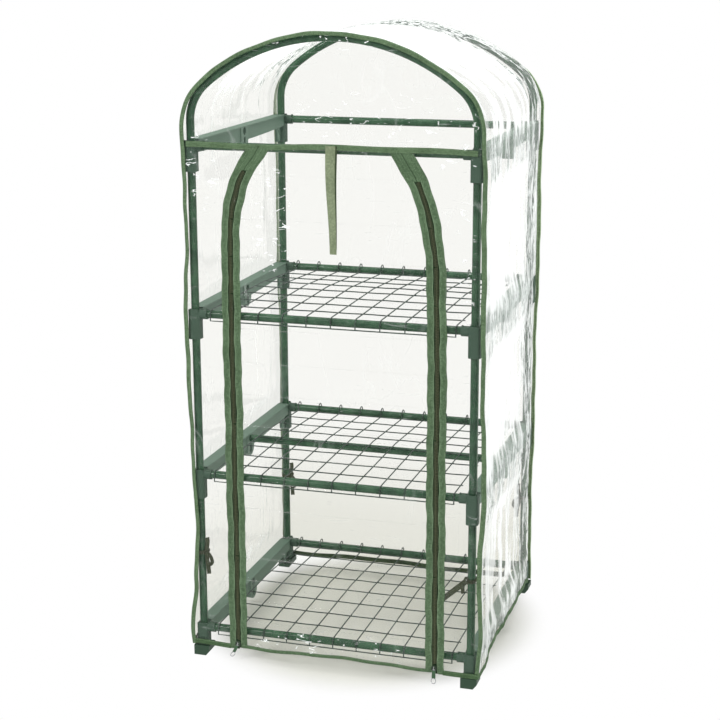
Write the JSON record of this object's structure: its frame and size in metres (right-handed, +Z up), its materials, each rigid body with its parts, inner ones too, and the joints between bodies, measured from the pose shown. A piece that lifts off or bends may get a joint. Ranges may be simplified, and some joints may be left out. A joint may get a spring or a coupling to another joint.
{
  "type": "greenhouse",
  "caption": "Upright framed plant house with lift-off wire shelves and a clear zipped cover whose front panel rolls up.",
  "frame": {"origin": "on the floor at the centre of the four posts", "axes": "+Z up, door faces -Y, +X to the right of someone who faces the door"},
  "size_m": [0.5932, 0.5511, 1.258],
  "materials": {
    "rail_plastic": "moulded grey-green, satin",
    "foot_plastic": "moulded dark green",
    "tube_paint": "green powder coat, slightly mottled",
    "wire": "grey-green plastic-coated wire",
    "clear_film": "clear soft film, glossy, wrinkled",
    "tape": "woven olive-green tape",
    "strap_tape": "pale olive tape",
    "tie_tape": "dark olive tape",
    "metal": "plated"
  },
  "bodies": {
    "frame": {"rail_left_1": "rail_plastic", "rail_left_2": "rail_plastic", "rail_left_3": "rail_plastic", "rail_left_4": "rail_plastic", "rail_right_1": "rail_plastic", "rail_right_2": "rail_plastic", "rail_right_3": "rail_plastic", "rail_right_4": "rail_plastic", "feet": "foot_plastic", "posts_lower": "tube_paint", "posts_middle": "tube_paint", "posts_upper": "tube_paint", "hoop_front": "tube_paint", "hoop_rear": "tube_paint", "tube_front_1": "tube_paint", "tube_front_2": "tube_paint", "tube_front_3": "tube_paint", "tube_front_4": "tube_paint", "tube_rear_1": "tube_paint", "tube_rear_2": "tube_paint", "tube_rear_3": "tube_paint", "tube_rear_4": "tube_paint", "tube_centre": "tube_paint", "film_wrap": "clear_film", "film_back": "clear_film", "film_front": "clear_film", "binding_front": "tape", "binding_rear": "tape", "hem": "tape", "header_tape": "tape", "zip_left": "tape", "zip_right": "tape", "ties": "tie_tape"},
    "shelf_lower": {"shelf_lower": "wire"},
    "shelf_middle": {"shelf_middle": "wire"},
    "shelf_upper": {"shelf_upper": "wire"},
    "slider_left": {"slider_left": "metal"},
    "slider_right": {"slider_right": "metal"},
    "pull_left": {"pull_left": "metal"},
    "pull_right": {"pull_right": "metal"},
    "strap_upper": {"strap_upper": "strap_tape"},
    "strap_middle": {"strap_middle": "strap_tape"},
    "strap_lower": {"strap_lower": "strap_tape"},
    "door_01": {"door_01": "clear_film"},
    "door_02": {"door_02": "clear_film"},
    "door_03": {"door_03": "clear_film"},
    "door_04": {"door_04": "clear_film"},
    "door_05": {"door_05": "clear_film"},
    "door_06": {"door_06": "clear_film"},
    "door_07": {"door_07": "clear_film"},
    "door_08": {"door_08": "clear_film"},
    "door_09": {"door_09": "clear_film"},
    "door_10": {"door_10": "clear_film"},
    "door_11": {"door_11": "clear_film"},
    "door_12": {"door_12": "clear_film"},
    "door_13": {"door_13": "clear_film"},
    "door_14": {"door_14": "clear_film"},
    "door_15": {"door_15": "clear_film"},
    "door_16": {"door_16": "clear_film"},
    "door_17": {"door_17": "clear_film"}
  },
  "joints": [
    {"name": "door_lean", "type": "hinge", "parent": "frame", "child": "door_01", "pos_m": [0, -0.2731, 1.0406], "axis": [-1, 0, 0], "range_deg": [0, 8]},
    {"name": "door_roll", "type": "hinge", "parent": "door_01", "child": "door_02", "pos_m": [0, -0.2731, 0.9446], "axis": [-1, 0, 0], "range_deg": [0, 60], "deforming": ["strap_upper", "strap_middle", "strap_lower"]},
    {"name": "door_fold_03", "type": "hinge", "parent": "door_02", "child": "door_03", "pos_m": [0, -0.2731, 0.86994], "axis": [-1, 0, 0], "range_deg": [0, 60]},
    {"name": "door_fold_04", "type": "hinge", "parent": "door_03", "child": "door_04", "pos_m": [0, -0.2731, 0.79758], "axis": [-1, 0, 0], "range_deg": [0, 60]},
    {"name": "door_fold_05", "type": "hinge", "parent": "door_04", "child": "door_05", "pos_m": [0, -0.2731, 0.72751], "axis": [-1, 0, 0], "range_deg": [0, 60]},
    {"name": "door_fold_06", "type": "hinge", "parent": "door_05", "child": "door_06", "pos_m": [0, -0.2731, 0.65975], "axis": [-1, 0, 0], "range_deg": [0, 60]},
    {"name": "door_fold_07", "type": "hinge", "parent": "door_06", "child": "door_07", "pos_m": [0, -0.2731, 0.59429], "axis": [-1, 0, 0], "range_deg": [0, 60]},
    {"name": "door_fold_08", "type": "hinge", "parent": "door_07", "child": "door_08", "pos_m": [0, -0.2731, 0.53112], "axis": [-1, 0, 0], "range_deg": [0, 60]},
    {"name": "door_fold_09", "type": "hinge", "parent": "door_08", "child": "door_09", "pos_m": [0, -0.2731, 0.47026], "axis": [-1, 0, 0], "range_deg": [0, 60]},
    {"name": "door_fold_10", "type": "hinge", "parent": "door_09", "child": "door_10", "pos_m": [0, -0.2731, 0.4117], "axis": [-1, 0, 0], "range_deg": [0, 60]},
    {"name": "door_fold_11", "type": "hinge", "parent": "door_10", "child": "door_11", "pos_m": [0, -0.2731, 0.35544], "axis": [-1, 0, 0], "range_deg": [0, 60]},
    {"name": "door_fold_12", "type": "hinge", "parent": "door_11", "child": "door_12", "pos_m": [0, -0.2731, 0.30147], "axis": [-1, 0, 0], "range_deg": [0, 60]},
    {"name": "door_fold_13", "type": "hinge", "parent": "door_12", "child": "door_13", "pos_m": [0, -0.2731, 0.24981], "axis": [-1, 0, 0], "range_deg": [0, 60]},
    {"name": "door_fold_14", "type": "hinge", "parent": "door_13", "child": "door_14", "pos_m": [0, -0.2731, 0.20045], "axis": [-1, 0, 0], "range_deg": [0, 60]},
    {"name": "door_fold_15", "type": "hinge", "parent": "door_14", "child": "door_15", "pos_m": [0, -0.2731, 0.15339], "axis": [-1, 0, 0], "range_deg": [0, 60]},
    {"name": "door_fold_16", "type": "hinge", "parent": "door_15", "child": "door_16", "pos_m": [0, -0.2731, 0.10862], "axis": [-1, 0, 0], "range_deg": [0, 60]},
    {"name": "door_fold_17", "type": "hinge", "parent": "door_16", "child": "door_17", "pos_m": [0, -0.2731, 0.06616], "axis": [-1, 0, 0], "range_deg": [0, 60]},
    {"name": "strap_wrap_upper", "type": "hinge", "parent": "frame", "child": "strap_upper", "pos_m": [0, -0.2722, 1.051], "axis": [-1, 0, 0], "range_deg": [0, 102]},
    {"name": "strap_wrap_middle", "type": "hinge", "parent": "strap_upper", "child": "strap_middle", "pos_m": [0, -0.2722, 0.985], "axis": [-1, 0, 0], "range_deg": [-25, 0]},
    {"name": "strap_wrap_lower", "type": "hinge", "parent": "strap_middle", "child": "strap_lower", "pos_m": [0, -0.2722, 0.919], "axis": [-1, 0, 0], "range_deg": [-50, 0]},
    {"name": "zip_left_run", "type": "slide", "parent": "frame", "child": "slider_left", "axis": [0, 0, 1], "range_m": [0, 0.76]},
    {"name": "zip_right_run", "type": "slide", "parent": "frame", "child": "slider_right", "axis": [0, 0, 1], "range_m": [0, 0.76]},
    {"name": "pull_left_swing", "type": "hinge", "parent": "slider_left", "child": "pull_left", "pos_m": [-0.204, -0.277, 0.0348], "axis": [-1, 0, 0], "range_deg": [0, 160]},
    {"name": "pull_right_swing", "type": "hinge", "parent": "slider_right", "child": "pull_right", "pos_m": [0.204, -0.277, 0.0348], "axis": [-1, 0, 0], "range_deg": [0, 160]},
    {"name": "shelf_lower_lift", "type": "slide", "parent": "frame", "child": "shelf_lower", "axis": [0, 0, 1], "range_m": [0, 0.04]},
    {"name": "shelf_middle_lift", "type": "slide", "parent": "frame", "child": "shelf_middle", "axis": [0, 0, 1], "range_m": [0, 0.04]},
    {"name": "shelf_upper_lift", "type": "slide", "parent": "frame", "child": "shelf_upper", "axis": [0, 0, 1], "range_m": [0, 0.04]}
  ],
  "couplings": [
    {"joint": "door_lean", "follows": "door_roll", "ratio": 0.13333},
    {"joint": "door_fold_03", "follows": "door_roll", "ratio": 1},
    {"joint": "door_fold_04", "follows": "door_roll", "ratio": 1},
    {"joint": "door_fold_05", "follows": "door_roll", "ratio": 1},
    {"joint": "door_fold_06", "follows": "door_roll", "ratio": 1},
    {"joint": "door_fold_07", "follows": "door_roll", "ratio": 1},
    {"joint": "door_fold_08", "follows": "door_roll", "ratio": 1},
    {"joint": "door_fold_09", "follows": "door_roll", "ratio": 1},
    {"joint": "door_fold_10", "follows": "door_roll", "ratio": 1},
    {"joint": "door_fold_11", "follows": "door_roll", "ratio": 1},
    {"joint": "door_fold_12", "follows": "door_roll", "ratio": 1},
    {"joint": "door_fold_13", "follows": "door_roll", "ratio": 1},
    {"joint": "door_fold_14", "follows": "door_roll", "ratio": 1},
    {"joint": "door_fold_15", "follows": "door_roll", "ratio": 1},
    {"joint": "door_fold_16", "follows": "door_roll", "ratio": 1},
    {"joint": "door_fold_17", "follows": "door_roll", "ratio": 1},
    {"joint": "strap_wrap_upper", "follows": "door_roll", "ratio": 1.7},
    {"joint": "strap_wrap_middle", "follows": "door_roll", "ratio": -0.41667},
    {"joint": "strap_wrap_lower", "follows": "door_roll", "ratio": -0.83333}
  ]
}
